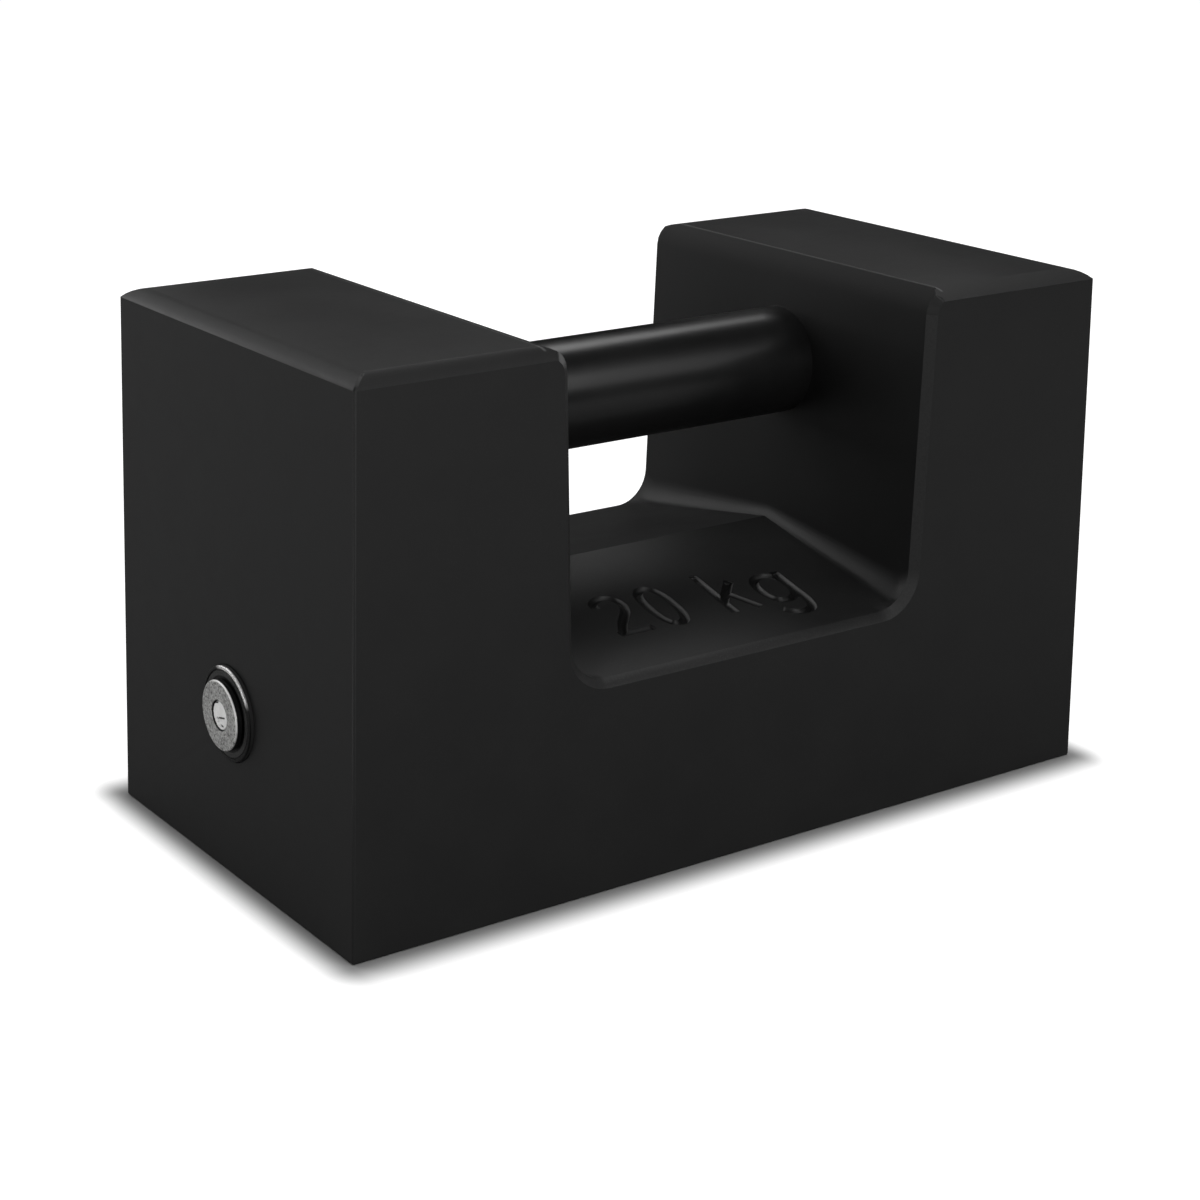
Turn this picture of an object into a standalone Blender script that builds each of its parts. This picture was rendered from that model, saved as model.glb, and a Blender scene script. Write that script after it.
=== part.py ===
"""Rectangular 20 kg bar weight: cast iron body, steel grab bar and a sealed adjusting cavity.

Frame: metres, +Z up, the length along X, the front face towards -Y.
The origin is the middle of the base. The adjusting plug is in the left end face (-X).
"""

from math import asin, atan, cos, pi, radians, sin

import bmesh
import bpy
from mathutils import Matrix

MM = 0.001

# Body block, a casting that narrows upwards
BASE_LENGTH = 234 * MM
TOP_LENGTH = 227 * MM
BASE_WIDTH = 120 * MM
TOP_WIDTH = 117 * MM
HEIGHT = 139 * MM
CORNER_BEVEL = 0.6 * MM        # upright corners and the foot of the block
CROWN_RADIUS = 8.5 * MM        # rounding of the four outer top edges
CROWN_ANGLE = radians(45)      # it stops in a crease on the upright faces
CROWN_STEPS = 5

# Hand notch through the top, with a roof-shaped floor
GAP_TOP = 111.6 * MM           # between the towers, at the very top
GAP_FLOOR = 107.4 * MM         # and down at the floor's edge
FLOOR_EDGE_HEIGHT = 55.4 * MM  # the roof's eaves, at the front and back faces
RIDGE_HEIGHT = 65.9 * MM
LIP_RADIUS = 6.0 * MM          # towers' inner top edges
LIP_STEPS = 5
MOUTH_CHAMFER = 2.1 * MM       # all round the notch on the front and back faces
ROOT_RADIUS_FACE = 10.0 * MM   # wall to floor, near the faces
ROOT_RADIUS_RIDGE = 4.5 * MM   # the root tightens towards the ridge
ROOT_CREASE = radians(50)      # where the root stops and the roof's slope starts
ROOT_STEPS = 5
SLOPE_START = 4.0 * MM         # the crease is sharp this far in from the chamfer

# Grab bar, cast in between the towers
BAR_DIAMETER = 29 * MM
BAR_BELOW_TOP = 28.5 * MM      # axis below the towers' tops
BAR_HOLD = 18 * MM             # length held in each tower
BAR_END_CHAMFER = 1.5 * MM
BAR_SIDES = 56

# Adjusting cavity and what closes it
PLUG_AXIS_HEIGHT = 43 * MM
CAVITY_DIAMETER = 26 * MM
CAVITY_LENGTH = 36 * MM
CAVITY_END_CHAMFER = 4 * MM
NECK_LENGTH = 22 * MM          # threaded hole between the seat and the cavity
SEAT_DEPTH = 0.5 * MM          # spot face under the washer
WASHER_DIAMETER = 24.4 * MM
WASHER_THICKNESS = 1.4 * MM
WASHER_RIM_CHAMFER = 0.5 * MM
HEAD_DIAMETER = 18 * MM
HEAD_THICKNESS = 1.6 * MM
HEAD_CHAMFER = 0.3 * MM
SHANK_DIAMETER = 14 * MM
SHANK_LENGTH = 20 * MM         # from under the head
SHANK_END_CHAMFER = 1.2 * MM
RECESS_DIAMETER = 8.2 * MM     # round recess in the head, filled by the seal
RECESS_DEPTH = 1.1 * MM
SOCKET_ACROSS_FLATS = 6 * MM
SOCKET_DEPTH = 4.5 * MM        # below the recess
SEAL_BELOW_HEAD = 0.15 * MM    # the pressed seal lies a little below the head's face
SEAL_EDGE_CHAMFER = 0.2 * MM
SEAL_STEM_LENGTH = 3.2 * MM
TURNED_SIDES = 40

# Adjusting charge, loose in the bottom of the cavity
SHOT_DIAMETER = 4.5 * MM
SHOT_ROWS = 5

CLEARANCE = 0.3 * MM           # between pieces that touch
CUT_OVER = 1.0 * MM            # how far a cutter passes the surface that it cuts
MERGE = 0.001 * MM

FACE_LEAN = (BASE_WIDTH - TOP_WIDTH) / 2 / HEIGHT
END_LEAN = (BASE_LENGTH - TOP_LENGTH) / 2 / HEIGHT
WALL_LEAN = (GAP_TOP - GAP_FLOOR) / 2 / (HEIGHT - FLOOR_EDGE_HEIGHT)
WALL_ANGLE = atan(WALL_LEAN)
NECK_DIAMETER = SHANK_DIAMETER + 2 * CLEARANCE
BAR_AXIS_HEIGHT = HEIGHT - BAR_BELOW_TOP


def face_y(z):
    """Distance of the front or back face from the middle plane."""
    return BASE_WIDTH / 2 - FACE_LEAN * z


def end_x(z):
    """Distance of an end face from the middle."""
    return BASE_LENGTH / 2 - END_LEAN * z


def wall_x(z):
    """Distance of a tower's inner wall from the middle."""
    return GAP_FLOOR / 2 + WALL_LEAN * (z - FLOOR_EDGE_HEIGHT)


def clear_scene():
    for old in list(bpy.data.objects):
        bpy.data.objects.remove(old, do_unlink=True)


def make_collection(name):
    collection = bpy.data.collections.new(name)
    bpy.context.scene.collection.children.link(collection)
    return collection


def make_material(name, colour, roughness, metallic):
    material = bpy.data.materials.new(name)
    material.use_nodes = True
    shader = material.node_tree.nodes["Principled BSDF"]
    shader.inputs["Base Color"].default_value = (*colour, 1.0)
    shader.inputs["Roughness"].default_value = roughness
    shader.inputs["Metallic"].default_value = metallic
    material.diffuse_color = (*colour, 1.0)
    return material


def add_object(name, mesh, collection, parent=None):
    obj = bpy.data.objects.new(name, mesh)
    collection.objects.link(obj)
    obj.parent = parent
    return obj


def mesh_from(work, name):
    mesh = bpy.data.meshes.new(name)
    work.to_mesh(mesh)
    work.free()
    return mesh


def finish_mesh(obj, material=None):
    """Apply the modifiers, point the faces outwards and smooth the round surfaces."""
    depsgraph = bpy.context.evaluated_depsgraph_get()
    mesh = bpy.data.meshes.new_from_object(obj.evaluated_get(depsgraph))
    mesh.name = obj.name
    obj.modifiers.clear()
    obj.data = mesh
    work = bmesh.new()
    work.from_mesh(mesh)
    bmesh.ops.recalc_face_normals(work, faces=work.faces)
    work.to_mesh(mesh)
    work.free()
    mesh.materials.clear()
    if material:
        mesh.materials.append(material)
    mesh.shade_smooth()
    mesh.set_sharp_from_angle(angle=radians(25))
    return obj


def cut(target, cutter):
    boolean = target.modifiers.new("cut by " + cutter.name, "BOOLEAN")
    boolean.operation = "DIFFERENCE"
    boolean.solver = "EXACT"
    boolean.object = cutter
    cutter.hide_render = True
    cutter.display_type = "WIRE"


def turned(name, profile, collection, parent, sides=TURNED_SIDES, ring=False, material=None):
    """Turn (radius, height) points, listed from the top down, about the parent's Z axis."""
    work = bmesh.new()
    points = [work.verts.new((radius, 0, height)) for radius, height in profile]
    for start, end in zip(points, points[1:]):
        work.edges.new((start, end))
    if ring:
        work.edges.new((points[-1], points[0]))
    obj = add_object(name, mesh_from(work, name), collection, parent)
    screw = obj.modifiers.new("turn", "SCREW")
    screw.axis = "Z"
    screw.steps = sides
    screw.render_steps = sides
    screw.use_merge_vertices = True
    screw.merge_threshold = MERGE
    bpy.context.view_layer.update()
    return finish_mesh(obj, material)


def crowned_block(collection):
    """The block with its taper, crisp corner bevels and rounded outer top edges."""
    shoulder = HEIGHT - CROWN_RADIUS * (1 - cos(CROWN_ANGLE))
    work = bmesh.new()
    bmesh.ops.create_cube(work, size=1)
    for vert in work.verts:
        z = shoulder if vert.co.z > 0 else 0.0
        vert.co.x = end_x(z) if vert.co.x > 0 else -end_x(z)
        vert.co.y = face_y(z) if vert.co.y > 0 else -face_y(z)
        vert.co.z = z
    top = max(work.faces, key=lambda face: face.calc_center_median().z)
    for step in range(CROWN_STEPS):
        lower = CROWN_ANGLE * (1 - step / CROWN_STEPS)
        upper = CROWN_ANGLE * (1 - (step + 1) / CROWN_STEPS)
        run = CROWN_RADIUS * (sin(lower) - sin(upper))
        rise = CROWN_RADIUS * (cos(upper) - cos(lower))
        bmesh.ops.inset_region(work, faces=[top], thickness=run, use_even_offset=True)
        bmesh.ops.translate(work, verts=top.verts, vec=(0, 0, rise))
    upright = [
        edge for edge in work.edges
        if abs(edge.verts[0].co.z - edge.verts[1].co.z) > MERGE]
    foot = [edge for edge in work.edges if all(vert.co.z < MERGE for vert in edge.verts)]
    bmesh.ops.bevel(
        work, geom=upright + foot, offset=CORNER_BEVEL, segments=2, profile=0.5,
        affect="EDGES", clamp_overlap=True)
    return add_object("weight_body", mesh_from(work, "weight_body"), collection)


def lip_points(grow):
    """Notch outline on the +X side, from above the top round the lip to the wall."""
    centre_z = HEIGHT - LIP_RADIUS
    centre_x = wall_x(centre_z) + LIP_RADIUS / cos(WALL_ANGLE)
    reach = LIP_RADIUS - grow
    points = [(centre_x, HEIGHT + CUT_OVER)]
    for step in range(LIP_STEPS + 1):
        angle = (pi / 2 - WALL_ANGLE) * step / LIP_STEPS
        points.append((centre_x - reach * sin(angle), centre_z + reach * cos(angle)))
    return points


def root_points(floor_z, radius, rounded, grow):
    """Notch outline on the +X side, from the wall round the root to the floor.

    A rounded root runs on into the floor. The other kind stops at the crease, where the
    floor starts, and has as many points, so that every section of the notch matches.
    """
    centre_z = floor_z + radius * sin(pi / 2 if rounded else ROOT_CREASE)
    centre_x = wall_x(centre_z) - radius / cos(WALL_ANGLE)
    reach = radius + grow
    points = []
    for step in range(ROOT_STEPS + 1):
        angle = WALL_ANGLE + (ROOT_CREASE - WALL_ANGLE) * step / ROOT_STEPS
        points.append((centre_x + reach * cos(angle), centre_z - reach * sin(angle)))
    for step in range(1, ROOT_STEPS + 1):
        share = step / ROOT_STEPS
        if rounded:
            angle = ROOT_CREASE + (pi / 2 - ROOT_CREASE) * share
            points.append((centre_x + reach * cos(angle), centre_z - reach * sin(angle)))
        else:
            points.append((centre_x + reach * cos(ROOT_CREASE) * (1 - share), floor_z))
    return points


def notch_outline(floor_z, radius, rounded=True, grow=0.0):
    """The whole notch outline as (x, z), from the +X lip round to the -X lip."""
    half = lip_points(grow) + root_points(floor_z, radius, rounded, grow)
    return half + [(-x, z) for x, z in reversed(half)]


def floor_height(depth):
    """Height of the roof-shaped floor, this far in from the front or back face."""
    rise = RIDGE_HEIGHT - FLOOR_EDGE_HEIGHT
    return FLOOR_EDGE_HEIGHT + rise * depth / face_y(FLOOR_EDGE_HEIGHT)


def notch_cutter(collection):
    """Loft of notch outlines: flared mouth, rounded root, creased slope, ridge and back."""
    slope_start = MOUTH_CHAMFER + SLOPE_START
    mouth_floor = floor_height(MOUTH_CHAMFER)
    half_loft = [
        (-CUT_OVER, notch_outline(mouth_floor, ROOT_RADIUS_FACE, grow=MOUTH_CHAMFER + CUT_OVER)),
        (MOUTH_CHAMFER, notch_outline(mouth_floor, ROOT_RADIUS_FACE)),
        (slope_start, notch_outline(floor_height(slope_start), ROOT_RADIUS_FACE, rounded=False)),
    ]
    front = [[(x, depth - face_y(z), z) for x, z in outline] for depth, outline in half_loft]
    middle = [(x, 0.0, z) for x, z in notch_outline(RIDGE_HEIGHT, ROOT_RADIUS_RIDGE, rounded=False)]
    back = [[(x, -y, z) for x, y, z in section] for section in reversed(front)]
    work = bmesh.new()
    loops = [[work.verts.new(point) for point in section] for section in front + [middle] + back]
    for near, far in zip(loops, loops[1:]):
        for index, corner in enumerate(near):
            following = (index + 1) % len(near)
            work.faces.new((corner, near[following], far[following], far[index]))
    for mouth in (loops[0], loops[-1]):
        work.faces.new(mouth)
    bmesh.ops.recalc_face_normals(work, faces=work.faces)
    bmesh.ops.triangulate(work, faces=work.faces)
    return add_object("notch_cutter", mesh_from(work, "notch_cutter"), collection)


def bar_profile(extra):
    """Half outline of the grab bar, or of its hole when it is made larger by extra."""
    radius = BAR_DIAMETER / 2 + extra
    half = wall_x(BAR_AXIS_HEIGHT) + BAR_HOLD + extra
    return [
        (0, half), (radius - BAR_END_CHAMFER, half), (radius, half - BAR_END_CHAMFER),
        (radius, BAR_END_CHAMFER - half), (radius - BAR_END_CHAMFER, -half), (0, -half)]


def cavity_profile():
    """Spot face, neck and cavity, as heights above the seat."""
    seat_radius = WASHER_DIAMETER / 2 + CLEARANCE
    neck_radius = NECK_DIAMETER / 2
    cavity_radius = CAVITY_DIAMETER / 2
    mouth = -NECK_LENGTH
    bottom = mouth - CAVITY_LENGTH
    return [
        (0, SEAT_DEPTH + CUT_OVER), (seat_radius, SEAT_DEPTH + CUT_OVER), (seat_radius, 0),
        (neck_radius, 0), (neck_radius, mouth),
        (cavity_radius, mouth - (cavity_radius - neck_radius)),
        (cavity_radius, bottom + CAVITY_END_CHAMFER),
        (cavity_radius - CAVITY_END_CHAMFER, bottom), (0, bottom)]


def make_body(parts, cutters, bar_axis, plug_seat, paint):
    body = crowned_block(parts)
    cut(body, notch_cutter(cutters))
    cut(body, turned("bar_hole_cutter", bar_profile(CLEARANCE), cutters, bar_axis, BAR_SIDES))
    cut(body, turned("cavity_cutter", cavity_profile(), cutters, plug_seat))
    bpy.context.view_layer.update()
    return finish_mesh(body, paint)


def make_washer(parts, plug_seat, steel):
    outer = WASHER_DIAMETER / 2
    inner = NECK_DIAMETER / 2
    top = CLEARANCE + WASHER_THICKNESS
    profile = [
        (inner, top), (outer - WASHER_RIM_CHAMFER, top), (outer, top - WASHER_RIM_CHAMFER),
        (outer, CLEARANCE), (inner, CLEARANCE)]
    return turned("plug_washer", profile, parts, plug_seat, ring=True, material=steel)


def head_underside():
    """Height of the plug's head above the seat."""
    return WASHER_THICKNESS + 2 * CLEARANCE


def make_plug(parts, cutters, plug_seat, steel):
    """Flat-headed screw plug with a hexagon socket under the seal's round recess."""
    head = HEAD_DIAMETER / 2
    shank = SHANK_DIAMETER / 2
    recess = RECESS_DIAMETER / 2
    under = head_underside()
    top = under + HEAD_THICKNESS
    tip = under - SHANK_LENGTH
    recess_floor = top - RECESS_DEPTH
    profile = [
        (0, recess_floor), (recess, recess_floor), (recess, top), (head - HEAD_CHAMFER, top),
        (head, top - HEAD_CHAMFER), (head, under), (shank, under),
        (shank, tip + SHANK_END_CHAMFER), (shank - SHANK_END_CHAMFER, tip), (0, tip)]
    plug = turned("adjusting_plug", profile, parts, plug_seat)
    corner_radius = SOCKET_ACROSS_FLATS / 2 / cos(pi / 6)
    depth = SOCKET_DEPTH + RECESS_DEPTH / 2
    centre = recess_floor - SOCKET_DEPTH + depth / 2
    work = bmesh.new()
    bmesh.ops.create_cone(
        work, cap_ends=True, segments=6, radius1=corner_radius, radius2=corner_radius,
        depth=depth, matrix=Matrix.Translation((0, 0, centre)))
    cut(plug, add_object("socket_cutter", mesh_from(work, "socket_cutter"), cutters, plug_seat))
    bpy.context.view_layer.update()
    return finish_mesh(plug, steel)


def make_seal(parts, plug_seat, metal):
    """Soft metal pressed into the head's recess, with a stem down the socket."""
    head_face = head_underside() + HEAD_THICKNESS
    top = head_face - SEAL_BELOW_HEAD
    under = head_face - RECESS_DEPTH + CLEARANCE
    rim = RECESS_DIAMETER / 2 - CLEARANCE
    stem = SOCKET_ACROSS_FLATS / 2 - CLEARANCE
    stem_end = under - SEAL_STEM_LENGTH
    profile = [
        (0, top), (rim - SEAL_EDGE_CHAMFER, top), (rim, top - SEAL_EDGE_CHAMFER), (rim, under),
        (stem, under), (stem, stem_end), (0, stem_end)]
    return turned("seal_pellet", profile, parts, plug_seat, material=metal)


def make_shot(parts, plug_seat, lead):
    """Rows of shot, side by side in the bottom of the cavity."""
    radius = SHOT_DIAMETER / 2
    pitch = SHOT_DIAMETER + CLEARANCE
    bed_radius = CAVITY_DIAMETER / 2 - CLEARANCE - radius
    row_angle = 2 * asin(pitch / 2 / bed_radius)
    first_depth = NECK_LENGTH + (CAVITY_DIAMETER - NECK_DIAMETER) / 2 + radius
    last_depth = NECK_LENGTH + CAVITY_LENGTH - CAVITY_END_CHAMFER - radius
    in_row = 1 + int((last_depth - first_depth) / pitch)
    work = bmesh.new()
    bmesh.ops.create_icosphere(work, subdivisions=2, radius=radius)
    ball = mesh_from(work, "shot")
    ball.materials.append(lead)
    ball.shade_smooth()
    for row in range(SHOT_ROWS):
        angle = row_angle * (row - (SHOT_ROWS - 1) / 2)
        for number in range(in_row):
            shot = add_object(f"shot_{row * in_row + number + 1:02d}", ball, parts, plug_seat)
            shot.location = (
                -bed_radius * cos(angle), bed_radius * sin(angle),
                -first_depth - number * pitch)


def add_axis(name, collection, location):
    """An empty whose Z axis points out of the left end face, along -X."""
    axis = add_object(name, None, collection)
    axis.location = location
    axis.rotation_euler = (0, -pi / 2, 0)
    bpy.context.view_layer.update()
    return axis


def build():
    clear_scene()
    parts = make_collection("bar_weight")
    cutters = make_collection("cutters")
    paint = make_material("black paint on cast iron", (0.012, 0.012, 0.012), 0.45, 0.0)
    enamel = make_material("black enamel on steel", (0.008, 0.008, 0.008), 0.25, 0.0)
    dark_steel = make_material("blackened steel", (0.04, 0.04, 0.042), 0.45, 0.8)
    bare_steel = make_material("bare steel", (0.38, 0.38, 0.37), 0.5, 1.0)
    seal_metal = make_material("seal metal", (0.72, 0.72, 0.72), 0.35, 1.0)
    lead = make_material("lead", (0.2, 0.2, 0.22), 0.6, 1.0)
    bar_axis = add_axis("bar_axis", parts, (0, 0, BAR_AXIS_HEIGHT))
    seat_x = SEAT_DEPTH - end_x(PLUG_AXIS_HEIGHT)
    plug_seat = add_axis("plug_seat", parts, (seat_x, 0, PLUG_AXIS_HEIGHT))
    make_body(parts, cutters, bar_axis, plug_seat, paint)
    turned("grab_bar", bar_profile(0), parts, bar_axis, BAR_SIDES, material=enamel)
    make_washer(parts, plug_seat, dark_steel)
    make_plug(parts, cutters, plug_seat, bare_steel)
    make_seal(parts, plug_seat, seal_metal)
    make_shot(parts, plug_seat, lead)


build()
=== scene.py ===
from math import atan2, cos, pi, radians, sin, tan

import bmesh
import bpy
from mathutils import Matrix, Vector


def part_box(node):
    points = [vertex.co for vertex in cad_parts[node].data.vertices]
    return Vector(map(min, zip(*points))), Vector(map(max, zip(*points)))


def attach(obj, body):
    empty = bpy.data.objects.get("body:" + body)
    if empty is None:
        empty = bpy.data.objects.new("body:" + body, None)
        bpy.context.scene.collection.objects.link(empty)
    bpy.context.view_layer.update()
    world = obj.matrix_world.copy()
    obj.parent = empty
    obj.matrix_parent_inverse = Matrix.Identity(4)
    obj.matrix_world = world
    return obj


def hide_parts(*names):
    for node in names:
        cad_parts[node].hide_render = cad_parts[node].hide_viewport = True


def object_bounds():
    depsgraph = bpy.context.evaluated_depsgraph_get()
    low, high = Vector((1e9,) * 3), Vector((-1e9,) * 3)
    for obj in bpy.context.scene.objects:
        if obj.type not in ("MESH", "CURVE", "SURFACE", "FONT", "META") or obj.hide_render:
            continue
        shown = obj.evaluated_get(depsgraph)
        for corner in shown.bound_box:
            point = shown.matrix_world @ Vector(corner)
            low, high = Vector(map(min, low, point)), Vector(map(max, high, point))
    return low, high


# Looks of a 20 kg bar weight: black painted casting, grab bar and sealed adjusting plug.
# Metres, +Z up, the front face towards -Y, the plug in the left end (-X).

MM = 0.001
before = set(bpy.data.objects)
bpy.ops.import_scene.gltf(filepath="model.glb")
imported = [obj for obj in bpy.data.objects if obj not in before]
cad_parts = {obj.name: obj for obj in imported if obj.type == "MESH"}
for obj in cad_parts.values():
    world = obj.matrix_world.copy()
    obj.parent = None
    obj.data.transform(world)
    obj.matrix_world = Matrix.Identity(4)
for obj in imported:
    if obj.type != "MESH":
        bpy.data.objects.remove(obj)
cad_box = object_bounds()
scene = bpy.context.scene

# Casting
MERGE = 0.002 * MM
FLAT_ANGLE = radians(0.3)      # faces that meet flatter than this become one
SLIVER = 0.02 * MM             # smallest edge that a cut may leave
SOCKET_CLEARANCE = 0.3 * MM
JOINT_FILLET = 0.2 * MM        # paint that bridges the bar and the tower walls
CREASE_ROUND = 0.3 * MM        # crisp creases of the casting under the paint
CREASE_ANGLE = radians(25)
BODY_SMOOTH = radians(28)      # flatter edges than this are shaded round
CORNER_ZONE = 5 * MM           # the upright corners' bevels lie this close to the box's corners
FOOT_ZONE = 1 * MM
MOUTH_DEPTH = 55 * MM          # the mouth's chamfers lie beyond this, from the middle
MOUTH_FOOT = 48 * MM
MOUTH_TOP = 134 * MM
MOUTH_REACH = 64 * MM
MOUTH_FACING = (0.4, 0.9)      # the Y part of the chamfers' normals lies between these

# Soft shading of the flat tops: cuts from the middle in millimetres, then reach and tilt
TOP_LEVEL = cad_box[1].z - 0.01 * MM
FACING_UP = 0.999              # parts of a face's normal
FACING_ASIDE = 0.05
TOP_CUTS_X = (66, 72, 78, 84, 89, 94, 98, 102)
TOP_CUTS_Y = (12, 24, 32, 38, 43, 47)
TOP_FADE_X = 30 * MM
TOP_FADE_Y = 28 * MM
TOP_TILT_X = 0.22
TOP_TILT_BACK = 0.12
TOP_TILT_FRONT = {"left": 0.02, "right": 0.22}
TOP_FADE_CURVE = 1.5

# Soft shading of the front edges' rolls, from the tops down to the front face
ROLL_START = {"left": radians(26), "right": radians(12.4)}
ROLL_END = {"left": radians(54), "right": radians(19)}
ROLL_BOTTOM = 128.0 * MM

# Soft shading of the lips, from the tops down to the walls
LIP_INSIDE = 55.5 * MM
LIP_OUTSIDE = 61.9 * MM
LIP_BOTTOM = 133.0 * MM
LIP_START = radians(78)
LIP_END = radians(88)

# Cast figures on the front slope, as grooves along these strokes. Across and up the slope in
# millimetres, upright; across starts at the block's middle, up starts at FIGURES_FOOT.
FIGURES_FOOT = -52.0 * MM
FIGURE_SLANT = 0.084           # the figures lean right, about the height FIGURE_MIDDLE
FIGURE_MIDDLE = 20.0 * MM
GROOVE_RADIUS = 1.4 * MM
GROOVE_CENTRE = 0.15 * MM      # the groove's round section is centred this far above the slope
FIGURE_REACH = 45 * MM         # all figures lie nearer to the middle, and in front of FIGURE_HEAD
FIGURE_HEAD = -10 * MM
FIGURE_STROKES = {
    "two_hook": ((-25.7, 25.0), (-25.1, 27.4), (-22.0, 29.0), (-19.0, 27.9), (-17.8, 25.0),
                 (-18.5, 21.8), (-20.9, 18.4), (-23.4, 15.2), (-25.6, 11.0)),
    "two_foot": ((-26.9, 11.2), (-16.2, 11.2)),
    "kilo_stem": ((9.05, 9.4), (9.05, 30.3)),
    "kilo_arm": ((9.1, 15.2), (17.0, 24.3)),
    "kilo_leg": ((12.5, 18.9), (17.4, 9.4)),
    "gram_stem": ((32.1, 24.1), (32.1, 15.0), (31.9, 7.2), (30.6, 4.1), (27.9, 3.0),
                  (25.0, 3.5), (22.2, 5.8)),
}
FIGURE_RINGS = {
    "nought": ((-8.2, 19.8), 3.8, 9.3),
    "gram_bowl": ((27.0, 16.5), 4.7, 6.5),
}
RING_SQUARENESS = 2.4          # the figures' ovals are a little squarer than an ellipse
RING_POINTS = 16

# Turned pieces
TURNED_SIDES = 96
BAR_SMOOTH = radians(30)
PLUG_SMOOTH = radians(35)
BAR_END_CHAMFER = 1.5 * MM
RIM_ROUND = 0.3 * MM           # the washer's outer rim
RIM_WIDTH = 0.8 * MM
RIM_STEP = 0.12 * MM
BAND_INSIDE = 9.7 * MM         # raised band on the washer's face
BAND_OUTSIDE = 10.9 * MM
HEAD_THICKNESS = 1.6 * MM
HEAD_ROUND = 0.3 * MM
SHANK_CHAMFER = 1.2 * MM
RECESS_DEPTH = 1.1 * MM
SEAL_GAP = 0.12 * MM           # gap round the seal, which reads as a dark line, partly through painted shade
SEAL_THICKNESS = 0.8 * MM
SEAL_CROWN = 0.15 * MM
SEAL_BEVEL = 0.12 * MM
SEAL_STEM = 0.7                # share of the seal's radius, also of the ring where its dome starts
SEAL_SHOULDER = 0.35
SEAL_TIP = 0.05
SEAL_UNEVEN = 0.07 * MM
MARK_DEPTH = 0.5 * MM
MARK_TAPER = (2 ** 0.5, 0.6)   # the marking tool's radius outside the seal and at a mark's bottom
# name, place across and up from the plug's axis, half size, turn, sides
SEAL_MARKS = (
    ("chisel_mark", (-0.6 * MM, -0.5 * MM), (3.0 * MM, 0.42 * MM), radians(14), 4),
    ("chisel_slip", (1.1 * MM, -1.3 * MM), (1.3 * MM, 0.4 * MM), radians(-50), 4),
    ("punch_mark", (-0.9 * MM, -2.5 * MM), (0.9 * MM, 0.45 * MM), 0, 12),
    ("chip_mark", (1.8 * MM, 2.9 * MM), (1.8 * MM, 0.4 * MM), radians(18), 4),
)

REPLACED_NODES = ("weight_body", "grab_bar", "plug_washer", "adjusting_plug", "seal_pellet")

# Finishes
EDGE_MARK = "thin_paint_and_highlight"       # face attribute: how thin the paint is, and how strong its painted highlight, up to 1
# how much thin paint, with its painted highlight, the rounded creases and the mouth's chamfers get
CREASE_MARK = 0.4
CHAMFER_MARK = 0.3
# lighter thin paint on the edges: partly worn paint, partly a painted highlight
THIN_PAINT_AND_HIGHLIGHT = (0.05, 0.05, 0.05)
# painted highlight, on the lips' top line and on the figures' lit walls
PAINTED_HIGHLIGHT = (0.1, 0.1, 0.1)
DUST_COLOUR = (0.25, 0.25, 0.24)
LIP_HIGHLIGHT_PLACE = 61.4 * MM           # from the middle to the painted highlight line on each tower's lip
LIP_HIGHLIGHT_WIDTH = 1.2 * MM
LIP_HIGHLIGHT_SHARE = 0.8
LIP_FOOT = 138.2 * MM
PAINT_DARK = (0.0073, 0.0073, 0.0074)
PAINT_LIGHT = (0.0083, 0.0083, 0.0083)
ENAMEL_DARK = (0.0045, 0.0045, 0.0046)
ENAMEL_LIGHT = (0.0058, 0.0058, 0.0058)
# painted shade in the figures' grooves
GROOVE_SHADE = (0.0008, 0.0008, 0.0008)
LIT_SIDE = (-0.85, 0.5, 0)     # the figures' walls with the painted highlight face this way
BLACKENED = (0.003, 0.003, 0.003)
BAND_DARK = (0.012, 0.012, 0.012)
BAND_LIGHT = (0.055, 0.055, 0.054)
# painted highlight on the washer's bare rim
RIM_HIGHLIGHT = (0.85, 0.84, 0.83)
# painted light: the washer's painted-over side, lighter than the body's paint
LIGHTENED_WALL = (0.03, 0.03, 0.03)
STEEL_DARK = (0.22, 0.22, 0.215)
STEEL_LIGHT = (0.64, 0.64, 0.63)
STEEL_PIT = (0.12, 0.12, 0.115)
# painted highlight on the head's upper, forward rim
STEEL_RIM_HIGHLIGHT = (0.9, 0.9, 0.89)
STEEL_SIDE = (0.004, 0.004, 0.004)
# painted shade in and round the seal's recess
RECESS_SHADE = (0.03, 0.03, 0.03)
SEAL_DULL = (0.9, 0.9, 0.89)
SEAL_BRIGHT = (1.0, 1.0, 0.99)
SEAL_EDGE = (0.5, 0.5, 0.49)
# painted shade in the seal's marks and round its sides
SEAL_SHADE = (0.06, 0.06, 0.06)
LEAD_DARK = (0.16, 0.16, 0.17)
LEAD_LIGHT = (0.3, 0.3, 0.31)
RIM_HIGHLIGHT_LEAN = radians(22)      # the washer rim's painted highlight is centred this far forward of the top

# Camera, fitted to the photograph
IMAGE = 1200
SENSOR = 36.0
FOCAL_PIXELS = 2479.5935
CAMERA_PLACE = Vector((-376.9103, -509.4139, 267.9803)) * MM
CAMERA_YAW = 0.5948
CAMERA_PITCH = 0.3166
CAMERA_ROLL = 0.0064
CENTRE_PIXEL = (512.8087, 564.9919)
NEAREST_SEEN = 0.01
FARTHEST_SEEN = 50

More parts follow.
